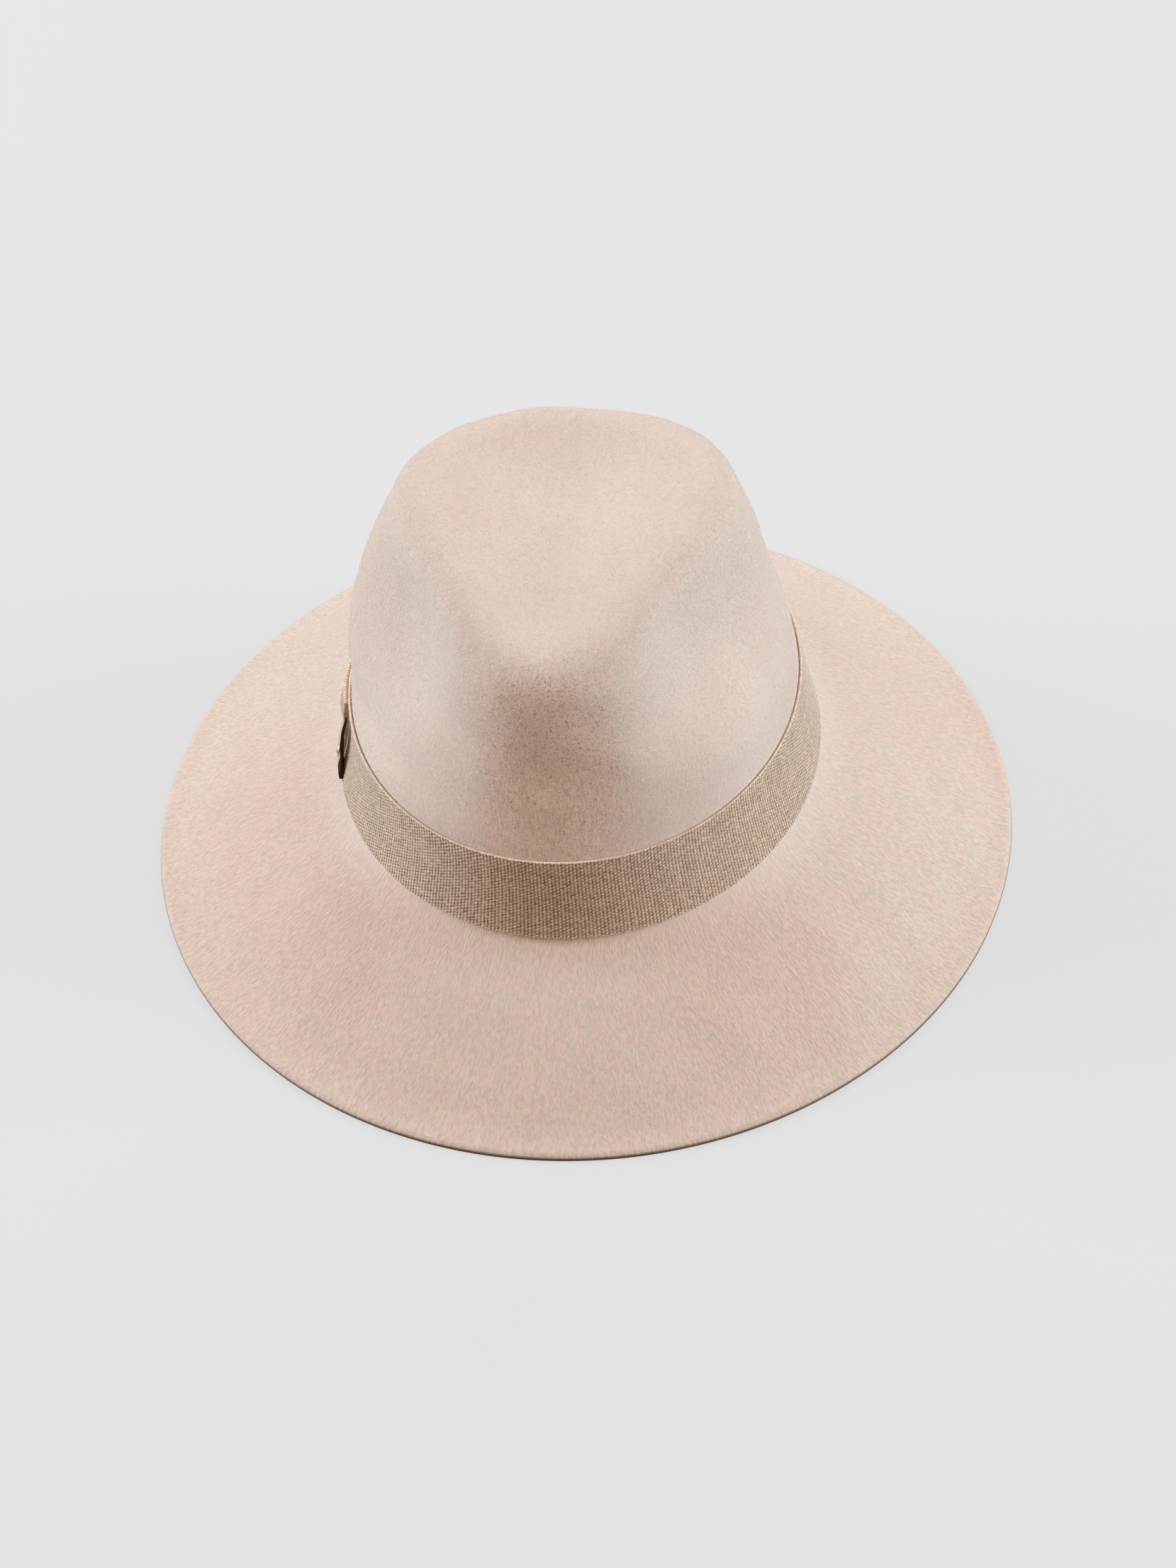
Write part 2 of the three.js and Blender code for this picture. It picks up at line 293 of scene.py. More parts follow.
def wool_felt():
    """Pressed wool felt with a brushed nap: no gloss, a pale fuzzy edge, fine streaks where the
    brim is brushed outwards, matted curls on the crown and soft pink and cream blotches, with
    painted shade on the cut edge, on the dent's inner wall and in the nap's hollows on the nose,
    and painted light on the dent's floor, in the pinches and on the nap's crests on the nose."""
    made, tree = new_material("pressed_wool_felt")
    place = add(tree, "TexCoord").outputs["Object"]
    combed_place = add(tree, "Attribute", attribute_name="combed_place").outputs["Vector"]
    combed = add(tree, "Attribute", attribute_name="combed").outputs["Fac"]
    tint_light_and_shade = add(tree, "Attribute", attribute_name="tint_light_and_shade").outputs["Vector"]
    tint_light_and_shade_parts = add(tree, "SeparateXYZ", {"Vector": tint_light_and_shade})
    edge_shade = add(tree, "Attribute", attribute_name="painted_edge_shade").outputs["Fac"]

    blotch = add(tree, "TexNoise", {
        "Vector": place, "Scale": per_mm(WOOL_BLOTCH), "Detail": 4.0, "Roughness": 0.65,
    })
    streak = add(tree, "TexNoise", {
        "Vector": combed_place, "Scale": per_mm(WOOL_STREAK), "Detail": 3.0, "Roughness": 0.6,
        "Distortion": 0.3,
    })
    tangle = add(tree, "TexNoise", {
        "Vector": place, "Scale": per_mm(WOOL_CURL), "Detail": 4.0, "Roughness": 0.65,
        "Distortion": 0.9,
    })
    grain = add(tree, "TexNoise", {
        "Vector": place, "Scale": per_mm(WOOL_GRAIN), "Detail": 2.0, "Roughness": 0.6,
    })

    # A curl is a ridge where the tangle passes its middle value.
    centred = add(tree, "Math", {0: tangle.outputs["Fac"], 1: 0.5}, operation="SUBTRACT")
    off_ridge = add(tree, "Math", {0: centred.outputs[0]}, operation="ABSOLUTE")
    curl = add(tree, "MapRange", {
        "Value": off_ridge.outputs[0], "From Min": 0.0, "From Max": 0.17, "To Min": 0.66, "To Max": 0.34,
    })
    brushed = add(tree, "Mix", {0: combed, 2: curl.outputs[0], 3: streak.outputs["Fac"]}).outputs[0]

    warm_stops = ((0.36, "#ebd9cf"), (0.62, "#e7ddd0"))
    warm = add(tree, "ValToRGB", {"Fac": blotch.outputs["Fac"]}, stops=warm_stops)
    # rosier wool, and painted shade on the dent's inner wall
    rosy_and_shaded = add(tree, "Mix", {
        0: tint_light_and_shade_parts.outputs["X"], 6: warm.outputs["Color"], 7: "#e6cfc6",
    }, data_type="RGBA")
    # painted light on the dent's floor and in the two pinches beside the nose
    painted_light = add(tree, "Mix", {
        0: tint_light_and_shade_parts.outputs["Y"], 6: rosy_and_shaded.outputs[2], 7: "#fbf3ea",
    }, data_type="RGBA")
    soft = add(tree, "MapRange", {
        "Value": brushed, "From Min": NAP_HOLLOW, "From Max": NAP_CREST, "To Min": 0.9, "To Max": 1.07,
    })
    # on the nose the nap's hollows get painted shade and its crests painted light
    nose_light_and_shade_stops = ((NAP_HOLLOW, NOSE_SHADED_HOLLOW), (NAP_CREST, NOSE_LIT_CREST))
    nose_light_and_shade = add(tree, "ValToRGB", {"Fac": brushed}, stops=nose_light_and_shade_stops)
    speck_and_nose_light = add(tree, "Mix", {
        0: tint_light_and_shade_parts.outputs["Z"], 6: soft.outputs[0], 7: nose_light_and_shade.outputs["Color"],
    }, data_type="RGBA")
    toned = add(tree, "Mix", {
        0: 1.0, 6: painted_light.outputs[2], 7: speck_and_nose_light.outputs[2],
    }, data_type="RGBA", blend_type="MULTIPLY")
    # painted shade on the brim's cut edge, darkest on the rim's underside
    colour = add(tree, "Mix", {0: edge_shade, 6: toned.outputs[2], 7: "#5b4a40"}, data_type="RGBA")

    fuzz = add(tree, "Math", {0: grain.outputs["Fac"], 1: 0.25}, operation="MULTIPLY")
    height = add(tree, "Math", {0: brushed, 1: fuzz.outputs[0]}, operation="ADD")
    bump = add(tree, "Bump", {
        "Height": height.outputs[0], "Strength": 0.7, "Distance": NAP_RELIEF * MM,
    })
    shader = add(tree, "BsdfPrincipled", {
        "Base Color": colour.outputs[2], "Roughness": 0.95, "Normal": bump.outputs[0],
        "Specular IOR Level": 0.15,
        "Sheen Weight": 0.35, "Sheen Roughness": 0.55, "Sheen Tint": "#fff4ec",
    })
    add(tree, "OutputMaterial", {"Surface": shader.outputs[0]})
    return made


def wool_hair():
    """The loose hairs of the same wool: each has its own tone, from dusty beige to near white."""
    made, tree = new_material("wool_nap_hair")
    tone = add(tree, "Attribute", attribute_name="tone")
    hair_stops = ((0.0, "#d8c6bb"), (0.45, "#ebdfd6"), (1.0, "#f8f1ea"))
    ramp = add(tree, "ValToRGB", {"Fac": tone.outputs["Fac"]}, stops=hair_stops)
    shader = add(tree, "BsdfPrincipled", {
        "Base Color": ramp.outputs["Color"], "Roughness": 0.9, "Specular IOR Level": 0.2,
    })
    add(tree, "OutputMaterial", {"Surface": shader.outputs[0]})
    return made


YARN_STRAND, STRAND_RELIEF = 0.3, 0.1  # a yarn's strands are finer, and drawn so that they show


def ribbon_weave():
    """Coarse spun yarn in plain weave: matte, with painted light on the yarns' crowns and painted shade, in
    brown, between them.
    """
    made, tree = new_material("plain_woven_ribbon")
    place = add(tree, "TexCoord").outputs["Object"]
    crown = add(tree, "Attribute", attribute_name="yarn_height")
    yarn = add(tree, "Attribute", attribute_name="yarn_tone")
    # by height: painted shade in brown in the weave's low places, painted light in near white on its crowns
    weave_shade_stops = ((0.0, "#6b5443"), (0.4, "#dac5b0"), (1.0, "#fff6ea"))
    base = add(tree, "ValToRGB", {"Fac": crown.outputs["Fac"]}, stops=weave_shade_stops)
    tone = add(tree, "MapRange", {"Value": yarn.outputs["Fac"], "To Min": 0.86, "To Max": 1.26})
    toned = add(tree, "Mix", {
        0: 1.0, 6: base.outputs["Color"], 7: tone.outputs[0],
    }, data_type="RGBA", blend_type="MULTIPLY")
    strand = add(tree, "TexNoise", {
        "Vector": place, "Scale": per_mm(YARN_STRAND), "Detail": 3.0, "Roughness": 0.6,
    })
    bump = add(tree, "Bump", {
        "Height": strand.outputs["Fac"], "Strength": 0.5, "Distance": STRAND_RELIEF * MM,
    })
    shader = add(tree, "BsdfPrincipled", {
        "Base Color": toned.outputs[2], "Roughness": 0.85, "Normal": bump.outputs[0],
        "Specular IOR Level": 0.25, "Sheen Weight": 1.0, "Sheen Roughness": 0.32,
    })
    add(tree, "OutputMaterial", {"Surface": shader.outputs[0]})
    return made


LEATHER_PEBBLE, LEATHER_CLOUD, LEATHER_RELIEF = 0.8, 3.0, 0.15


def cut_leather():
    """Dark vegetable-tanned leather, cut and left raw: a dull pebbled face and a fibrous edge."""
    made, tree = new_material("dark_tanned_leather")
    place = add(tree, "TexCoord").outputs["Object"]
    pebble = add(tree, "TexVoronoi", {
        "Vector": place, "Scale": per_mm(LEATHER_PEBBLE),
    }, feature="SMOOTH_F1")
    cloud = add(tree, "TexNoise", {
        "Vector": place, "Scale": per_mm(LEATHER_CLOUD), "Detail": 4.0,
    }).outputs["Fac"]
    raw = add(tree, "Attribute", attribute_name="raw_edge").outputs["Fac"]
    face = add(tree, "Mix", {0: cloud, 6: "#33190f", 7: "#512f1f"}, data_type="RGBA")
    colour = add(tree, "Mix", {0: raw, 6: face.outputs[2], 7: "#432414"}, data_type="RGBA")
    grain = add(tree, "Math", {0: pebble.outputs["Distance"], 1: cloud}, operation="ADD")
    bump = add(tree, "Bump", {
        "Height": grain.outputs[0], "Strength": 0.5, "Distance": LEATHER_RELIEF * MM,
    })
    shader = add(tree, "BsdfPrincipled", {
        "Base Color": colour.outputs[2], "Roughness": 0.8, "Normal": bump.outputs[0],
        "Specular IOR Level": 0.08,
    })
    add(tree, "OutputMaterial", {"Surface": shader.outputs[0]})
    return made


BRASS_SCRATCH = 0.25  # brushing marks are finer, and drawn so that they show


def stud_brass():
    """Pale plated brass, turned and lightly brushed: a soft gleam with fine scratches."""
    made, tree = new_material("plated_brass")
    place = add(tree, "TexCoord").outputs["Object"]
    scratch = add(tree, "TexNoise", {
        "Vector": place, "Scale": per_mm(BRASS_SCRATCH), "Detail": 4.0,
    })
    rough = add(tree, "MapRange", {"Value": scratch.outputs["Fac"], "To Min": 0.36, "To Max": 0.5})
    shader = add(tree, "BsdfPrincipled", {
        "Base Color": "#eadfc4", "Metallic": 1.0, "Roughness": rough.outputs[0],
    })
    add(tree, "OutputMaterial", {"Surface": shader.outputs[0]})
    return made


# The felt.

FELT_AROUND = 360
FELT_STEP = 1.9
EDGE_SWELL = 1.0015  # the middle of the cut edge stands a little proud
EDGE_MIDDLE_SHADE = 0.9  # how much painted shade the middle of the edge gets
COMB_RADIUS = 130.0  # the brim's middle, where the streaks of the nap have their true width
COMB_STRETCH = 3.0  # how many times longer than wide a streak is
COMB_FADE = 10.0  # the streaks give way to curls over this distance from the break
WALL_CURLS, WALL_FADE = 0.6, 30.0  # the share of curls low on the wall, and where it grows to 1

# The relief of hand-blocked felt: wavelengths and heights, each laid in several directions.
RELIEF_WAVES = ((70, 0.35), (42, 0.3), (25, 0.18), (16, 0.12))
RELIEF_DIRECTIONS = 4
# How far from the break, the band's top edge and the rim it begins, and over how far it grows.
RELIEF_OFF_BREAK, RELIEF_OFF_BAND, RELIEF_OFF_RIM = (8, 25), (3, 15), (4, 12)

# Soft places, in millimetres: rosier wool, and painted shade and painted light on the crown.
TINT_LIGHT_AND_SHADE_SPOTS = (
    # x, y, width, rosier (pink wool, and painted shade on the dent's inner wall), paler (painted light), nose
    # (painted shade and light in the nap)
    (-118.0, -30.0, 50.0, 0.55, 0.0, 0.0),
    (-78.0, -96.0, 34.0, 0.6, 0.0, 0.0),
    (74.0, -98.0, 30.0, 0.5, 0.0, 0.0),
    # painted shade on the dent's inner wall, in the rosier tone
    (-30.0, 0.0, 14.0, 0.6, 0.0, 0.0),
    (-25.0, 35.0, 22.0, 0.3, 0.0, 0.0),
    (12.0, 128.0, 40.0, 0.35, 0.0, 0.0),
    (140.0, 60.0, 40.0, 0.3, 0.0, 0.0),
    # painted light on the dent's floor and in the two pinches
    (0.0, 6.0, 60.0, 0.0, 0.55, 0.0),
    (-62.0, -48.0, 22.0, 0.0, 0.4, 0.0),
    (62.0, -42.0, 22.0, 0.0, 0.4, 0.0),
    # painted shade in the nap's hollows and painted light on its crests, on the nose
    (-13.0, -84.0, 13.0, 0.0, 0.0, 0.8),
    (2.0, -86.0, 13.0, 0.0, 0.0, 0.8),
    (17.0, -84.0, 13.0, 0.0, 0.0, 0.8),
)


def tint_light_and_shade_at(points):
    tint_light_and_shade = np.zeros((len(points), 3))
    for x, y, width, *amounts in TINT_LIGHT_AND_SHADE_SPOTS:
        near = np.exp(-np.sum((points[:, :2] - (x, y)) ** 2, 1) / width**2)
        tint_light_and_shade += near[:, None] * amounts
    return np.clip(tint_light_and_shade, 0, 1)


def relief(theta, d):
    """The slight unevenness of hand-blocked felt, none of it under the band or at the rim."""
    random = np.random.default_rng(SEED)
    p = felt_point(theta, d)
    height = np.zeros(p.shape[:-1])
    for size, depth in RELIEF_WAVES:
        for _ in range(RELIEF_DIRECTIONS):
            way = random.normal(size=3)
            way *= 2 * math.pi / size / np.linalg.norm(way)
            height += depth / 2 * np.sin(p @ way + random.uniform(0, 2 * math.pi))
    on_brim = smooth((AT["break"] - RELIEF_OFF_BREAK[0] - d) / RELIEF_OFF_BREAK[1])
    on_crown = smooth((d - AT["band_top"] - RELIEF_OFF_BAND[0]) / RELIEF_OFF_BAND[1])
    return height * (on_brim + on_crown) * smooth((d - RELIEF_OFF_RIM[0]) / RELIEF_OFF_RIM[1])


def felt_face(theta, d):
    return off_felt(theta, d, relief(theta, d))


def felt_stops():
    """Distances along the profile for the felt's rings, the last one just before the pole."""
    return np.linspace(0, ALONG[-1] - FELT_STEP, int(ALONG[-1] / FELT_STEP))


def felt_hat(material):
    """Crown and brim: the outer face, the middle of the cut edge, the inner face and two poles."""
    stops = felt_stops()
    inner_stops = stops[::2]
    n = FELT_AROUND
    thetas = np.arange(n) / n * 2 * math.pi
    outer = felt_face(*np.meshgrid(thetas, stops))
    t, d = np.meshgrid(thetas, inner_stops)
    inner = off_felt(t, d, relief(t, d) - FELT_THICKNESS)
    resting = d < RESTING_WIDTH
    inner[resting] = felt_point(t, d)[resting] * (1, 1, 0)
    inner[..., 2] = np.maximum(inner[..., 2], 0)
    mid_edge = (outer[0] + inner[0]) / 2
    mid_edge[:, :2] *= EDGE_SWELL
    pole = felt_point(np.zeros(1), ALONG[-1:])
    points = [outer.reshape(-1, 3), mid_edge, inner.reshape(-1, 3), pole, pole - (0, 0, FELT_THICKNESS)]
    _, at_edge, at_inner, at_pole, at_inner_pole, end = np.cumsum([0] + [len(p) for p in points])
    points = np.concatenate(points)

    k = np.arange(n)
    j = (k + 1) % n
    quads = np.concatenate([
        grid_faces(len(stops), n),
        grid_faces(len(inner_stops), n, at_inner, flip=True),
        np.stack([at_edge + k, at_edge + j, j, k], -1),
        np.stack([at_inner + k, at_inner + j, at_edge + j, at_edge + k], -1),
    ])
    last_outer, last_inner = at_edge - n, at_pole - n
    triangles = np.concatenate([
        halved(quads),
        fan(last_outer + k, last_outer + j, at_pole),
        fan(last_inner + j, last_inner + k, at_inner_pole),
    ])

    # painted shade on the cut edge, darkest on the rim's underside
    edge_shade = np.zeros(end)
    edge_shade[at_edge:at_inner] = EDGE_MIDDLE_SHADE
    edge_shade[at_inner : at_inner + n] = 1
    turns = np.concatenate([np.tile(thetas, len(stops)), thetas, np.tile(thetas, len(inner_stops)), [0, 0]])
    far = np.concatenate([np.repeat(stops, n), 0 * thetas, np.repeat(inner_stops, n), ALONG[-1:], ALONG[-1:]])
    around = np.stack([np.cos(turns), np.sin(turns)], -1) * COMB_RADIUS
    on_crown = smooth((far - AT["break"]) / COMB_FADE)
    curls = WALL_CURLS + (1 - WALL_CURLS) * smooth((far - AT["wall_mid"]) / WALL_FADE)
    fields = {
        "painted_edge_shade": edge_shade,
        # rosier wool, and painted light and shade on the crown
        "tint_light_and_shade": tint_light_and_shade_at(points),
        "combed": 1 - on_crown * curls,
        "combed_place": np.concatenate([around, far[:, None] / COMB_STRETCH], 1) * MM,
    }
    return make_piece("felt_hat", points, triangles, material, "felt_body", fields=fields)


# Nap: where it grows, how many hairs, and how they lie.
NAP_PATCHES = (
    # name, from ring, to ring, hairs, share of them combed down the profile, lift in radians
    ("nap_brim_outer", "rim", "brim_outer", 24000, 0.8, 0.05),
    ("nap_brim_inner", "brim_outer", "break", 24000, 0.8, 0.05),
    ("nap_crown_wall", "band_top", "wall_high", 24000, 0.3, 0.08),
    ("nap_crown_top", "wall_high", "centre", 24000, 0.15, 0.05),
)
NAP_MARGIN, RIM_MARGIN = 0.5, 2.5  # how far from a patch's ends and from the rim the hairs stay
NAP_TRIES = 4  # places drawn for each hair, since fewer are kept where the rings are small
UP_STEP = 0.3  # the way up the profile is measured over this stretch
HAIR_LENGTH = (1.2, 3.0)
HAIR_WIDTH = 0.14  # a lock of several hairs, since a single one is too fine to show
HAIR_WIDTH_SHARE = (0.7, 1.3)
HAIR_HEIGHT_SHARE = 0.4  # of its width
HAIR_ROOT = 0.05  # how deep it begins in the felt
HAIR_LOWEST = 0.05  # its least height over the floor
HAIR_TURN, HAIR_BEND, HAIR_LIFT = 0.5, 0.5, 0.07  # scatter of its angles in radians
TIP_LIFT = 0.3  # the tip's share of the lift
HAIR_UPWARD, HAIR_SCATTER = 0.9, 0.22  # a lock stands off, so it catches more light from above
HAIR_FACES = np.array([(0, 2, 1), (0, 3, 2), (0, 1, 3), (4, 1, 2), (4, 2, 3), (4, 3, 1)])


def nap(name, low, high, count, combed, lift, random, material):
    """Fine curved hairs: each a slender closed spindle of six triangles, bent in the middle."""
    tries = count * NAP_TRIES
    margin = RIM_MARGIN if low == "rim" else NAP_MARGIN
    d = random.uniform(AT[low] + margin, AT[high] - NAP_MARGIN, tries)
    theta = random.uniform(0, 2 * math.pi, tries)
    reach = np.linalg.norm(felt_point(theta, d)[:, :2], axis=1)
    keep = random.uniform(0, reach.max(), tries) < reach
    d, theta = d[keep][:count], theta[keep][:count]
    n = len(d)
    normal = felt_normal(theta, d)
    up = unit(felt_point(theta, np.minimum(d + UP_STEP, ALONG[-1])) - felt_point(theta, d))
    side = np.cross(up, normal)
    follows = random.uniform(size=n) < combed
    brushed = random.normal(math.pi, HAIR_TURN, n)
    astray = random.uniform(0, 2 * math.pi, n)
    turn = np.where(follows, brushed, astray)
    bend = random.normal(0, HAIR_BEND, n)
    lift = np.abs(random.normal(lift, HAIR_LIFT, n))
    length = random.uniform(*HAIR_LENGTH, n)[:, None]

    def heading(angle, rise):
        flat = up * np.cos(angle)[:, None] + side * np.sin(angle)[:, None]
        return flat * np.cos(rise)[:, None] + normal * np.sin(rise)[:, None]

    root = felt_face(theta, d) - normal * HAIR_ROOT
    knee = root + heading(turn, lift) * length * 0.5
    tip = knee + heading(turn + bend, lift * TIP_LIFT) * length * 0.5
    across = np.cross(heading(turn, lift), normal)
    width = HAIR_WIDTH * random.uniform(*HAIR_WIDTH_SHARE, n)[:, None]
    ridge = knee + normal * width * HAIR_HEIGHT_SHARE
    points = np.stack([root, knee + across * width / 2, knee - across * width / 2, ridge, tip], 1)
    points[..., 2] = np.maximum(points[..., 2], HAIR_LOWEST)
    corners = points.shape[1]
    faces = (np.arange(n)[:, None, None] * corners + HAIR_FACES).reshape(-1, 3)
    fields = {"tone": np.repeat(random.uniform(size=n), corners)}
    facing = unit(normal + (0, 0, HAIR_UPWARD) + random.normal(0, HAIR_SCATTER, normal.shape))
    facing = np.repeat(facing, corners, axis=0)
    piece = make_piece(name, points.reshape(-1, 3), faces, material, fields=fields, normals=facing)
    piece.visible_shadow = False  # a lock of fine hairs lets the light through
    return piece


# Ribbon: a plain weave. Its warps run round the hat and its wefts up the band, and both are
# coarser than single threads, so that they show.
WEFT_PITCH, WARP_PITCH = 1.3, 0.67
ARC_SAMPLES = 2000
LINING_ROWS = 9
# Heights in the weave, from 0 where four yarns part to 1 on a crossing where the warp is on top.
WARP_ON_TOP, WEFT_ON_TOP, BETWEEN_WEFTS, BETWEEN_WARPS = 1.0, 0.3, 0.15, 0.5
SELVEDGE_LOW, END_SELVEDGE_LOW, SELVEDGE_BEAD = 0.4, 0.2, 0.45
HEIGHT_SCATTER = 0.12
YARN_RELIEF, YARN_PROUD = 0.36, 0.1  # depth of the weave, and how far its crowns stand proud
# Yarn tones: spreads of the wefts and warps, scatter, how much paler the selvedge is.
WEFT_TONES, WARP_TONES, TONE_SCATTER, SELVEDGE_PALER = (0.25, 0.75), (0.1, 0.9), 0.1, 0.35
TONE_LIMIT = 1.3
LINING_HEIGHT, LINING_TONE = 0.35, 0.4
LOOSE = 1.9  # how far the lapped end stands off where it isn't held, at this azimuth and drop
LOOSE_AT, LOOSE_SIZE = (189.0, 6.0), (4.2, 5.0)


def arc_table(offset):
    """Azimuths and the distance round the band's middle up to each, in millimetres."""
    thetas = np.linspace(0, 2 * math.pi, ARC_SAMPLES)
    middle = np.full(ARC_SAMPLES, (AT["band_bottom"] + AT["band_top"]) / 2)
    path = off_felt(thetas, middle, np.full(ARC_SAMPLES, offset))
    return thetas, np.concatenate([[0], np.cumsum(np.linalg.norm(np.diff(path, axis=0), axis=1))])


def ribbon_cap(rows, columns, lining, column, turn):
    """Triangles over one cut end of a ribbon, between its outer rows and the fewer inner ones."""
    base = rows * columns
    cap = []
    for step, (low_row, high_row) in enumerate(zip(lining[:-1], lining[1:])):
        inside, next_inside = (base + (step + m) * columns + column for m in (0, 1))
        for row in range(low_row, high_row):
            cap.append([inside, row * columns + column, (row + 1) * columns + column][::turn])
        cap.append([inside, high_row * columns + column, next_inside][::turn])
    return cap


def woven_ribbon(name, node, offset, material, azimuths=None):
    """A ribbon in plain weave round the crown; every crossing has its own two by two points.

    The warps pass over every second weft, in turn from row to row, and stand proud there."""
    random = np.random.default_rng(SEED + len(name))
    low, high = AT["band_bottom"], AT["band_top"]
    thetas, arc = arc_table(offset + RIBBON_THICKNESS)
    whole = azimuths is None
    start, end = (0, arc[-1]) if whole else np.interp(np.radians(azimuths), thetas, arc)
    wefts = 2 * round((end - start) / WEFT_PITCH / 2)
    warps = round((high - low) / WARP_PITCH)
    across = np.arange(2 * wefts + (0 if whole else 1))
    up = np.arange(2 * warps + 1)
    columns, rows = len(across), len(up)
    theta = np.interp(start + across / 2 * (end - start) / wefts, arc, thetas)
    t, d = np.meshgrid(theta, low + up / 2 * (high - low) / warps)

    i, j = np.meshgrid(across, up)
    over = ((i // 2 + j // 2) % 2) == 0
    on_weft, on_warp = i % 2 == 1, j % 2 == 1
    height = np.where(on_weft & on_warp, np.where(over, WARP_ON_TOP, WEFT_ON_TOP), 0.0)
    height = np.where(~on_weft & on_warp, BETWEEN_WEFTS, height)
    height = np.where(on_weft & ~on_warp, BETWEEN_WARPS, height)
    selvedge = (j == 0) | (j == 2 * warps)
    edge_low = SELVEDGE_LOW if whole else END_SELVEDGE_LOW
    height = np.where(selvedge, edge_low + SELVEDGE_BEAD * (i % 2), height)
    height += random.normal(0, HEIGHT_SCATTER, height.shape)

    loose = 0
    if not whole:
        away = (np.degrees(t) - LOOSE_AT[0]) / LOOSE_SIZE[0]
        loose = LOOSE * np.exp(-(away**2) - ((high - d - LOOSE_AT[1]) / LOOSE_SIZE[1]) ** 2)
    outer_offset = offset + loose + RIBBON_THICKNESS - YARN_RELIEF * (1 - height) + YARN_PROUD
    inner_offset = offset if whole else offset - GAP
    lining = np.linspace(0, rows - 1, LINING_ROWS).round().astype(int)
    outer = off_felt(t, d, outer_offset)
    inner = off_felt(t, d, inner_offset + 0 * d)[lining]
    points = np.concatenate([outer.reshape(-1, 3), inner.reshape(-1, 3)])

    k = np.arange(columns if whole else columns - 1)
    n = (k + 1) % columns
    base = rows * columns
    top = (rows - 1) * columns
    inner_top = base + (LINING_ROWS - 1) * columns
    triangles = halved(np.concatenate([
        grid_faces(rows, columns, wrap=whole),
        grid_faces(LINING_ROWS, columns, base, wrap=whole, flip=True),
        np.stack([base + k, base + n, n, k], -1),
        np.stack([top + k, top + n, inner_top + n, inner_top + k], -1),
    ]))
    if not whole:
        first_cap = ribbon_cap(rows, columns, lining, 0, 1)
        last_cap = ribbon_cap(rows, columns, lining, columns - 1, -1)
        triangles = np.concatenate([triangles, first_cap, last_cap])

    weft_tone = random.uniform(*WEFT_TONES, wefts + 1)[i // 2]
    warp_tone = random.uniform(*WARP_TONES, warps + 1)[j // 2]
    tone = np.where(over, warp_tone, weft_tone) + random.normal(0, TONE_SCATTER, t.shape)
    tone = tone + selvedge * SELVEDGE_PALER
    inner_count = LINING_ROWS * columns
    # the heights also set the weave's painted shade and light
    heights = [np.clip(height, 0, 1).ravel(), np.full(inner_count, LINING_HEIGHT)]
    tones = [np.clip(tone, 0, TONE_LIMIT).ravel(), np.full(inner_count, LINING_TONE)]
    fields = {"yarn_height": np.concatenate(heights), "yarn_tone": np.concatenate(tones)}
    return make_piece(name, points, triangles, material, node, fields=fields)


# The tab, by its drop from the band's top edge: how far its middle line stands off the felt, how
# far its front edge is turned out (the stiff leather bows and twists), thickness and width.
TAB_COLUMNS = ("drop", "stands", "turned", "thick", "wide")
TAB_STOPS = np.array([
    (3.0, 2.70, 0.35, 0.9, 3.0),
    (6.0, 3.30, 0.70, 1.0, 4.0),
    (10.0, 3.70, 0.70, 1.0, 5.2),
    (15.0, 3.75, 0.60, 1.0, 5.5),
    (20.0, 3.20, 0.50, 1.0, 5.5),
    (24.5, 2.55, 0.45, 1.0, 5.5),
    (26.5, 2.20, 0.30, 1.9, 5.5),
    (29.5, 2.05, 0.10, 2.2, 5.4),
    (31.0, 1.95, 0.00, 1.6, 4.6),
])
TAB_ROWS, TAB_SIDES = 60, 40
TAB_SMOOTHING = 8  # times that each column is evened out between its ends
TAB_SQUARE = (0.22, 0.5)  # how square the cut is across its width and thickness: 1 is round
TAB_RADIUS = BAND_TOP["side"] + 5  # of the wall under the tab, to turn its width into an angle
RAW_FROM = 0.9  # the share of its half width outside which the leather's cut edge shows


def tab_at(drop):
    return dict(zip(TAB_COLUMNS, (np.interp(drop, TAB_STOPS[:, 0], column) for column in TAB_STOPS.T)))


def leather_tab(material):
    """A strip of leather over the band's join, with a narrow neck; its end is a little swollen."""
    tab = tab_at(np.linspace(TAB_STOPS[0, 0], TAB_STOPS[-1, 0], TAB_ROWS))
    for column in TAB_COLUMNS[1:]:
        for _ in range(TAB_SMOOTHING):
            tab[column][1:-1] = (tab[column][:-2] + 2 * tab[column][1:-1] + tab[column][2:]) / 4
    drop, stands, turned, thick, wide = (tab[column][:, None] for column in TAB_COLUMNS)
    turn = np.arange(TAB_SIDES) / TAB_SIDES * 2 * math.pi
    square_x = np.sign(np.cos(turn)) * np.abs(np.cos(turn)) ** TAB_SQUARE[0]
    square_y = np.sign(np.sin(turn)) * np.abs(np.sin(turn)) ** TAB_SQUARE[1]
    azimuth = math.radians(TAB_MIDDLE + TAB_WIDTH / 2 / TAB_RADIUS * 180 / math.pi)
    azimuth = azimuth + (square_x[None] - 1) * wide / 2 / TAB_RADIUS
    along = AT["band_top"] - drop + 0 * square_x
    offset = stands + turned * square_x + thick / 2 * square_y
    points = off_felt(azimuth, along, offset).reshape(-1, 3)
    ends = [points[:TAB_SIDES].mean(0), points[-TAB_SIDES:].mean(0)]
    points = np.concatenate([points, ends])
    raw = np.tile(np.abs(square_x) > RAW_FROM, TAB_ROWS)
    fields = {"raw_edge": np.concatenate([raw, [1, 1]])}
    faces = closed_faces(TAB_ROWS, TAB_SIDES)
    return make_piece("leather_tab", points, faces, material, "side_tab", fields=fields)


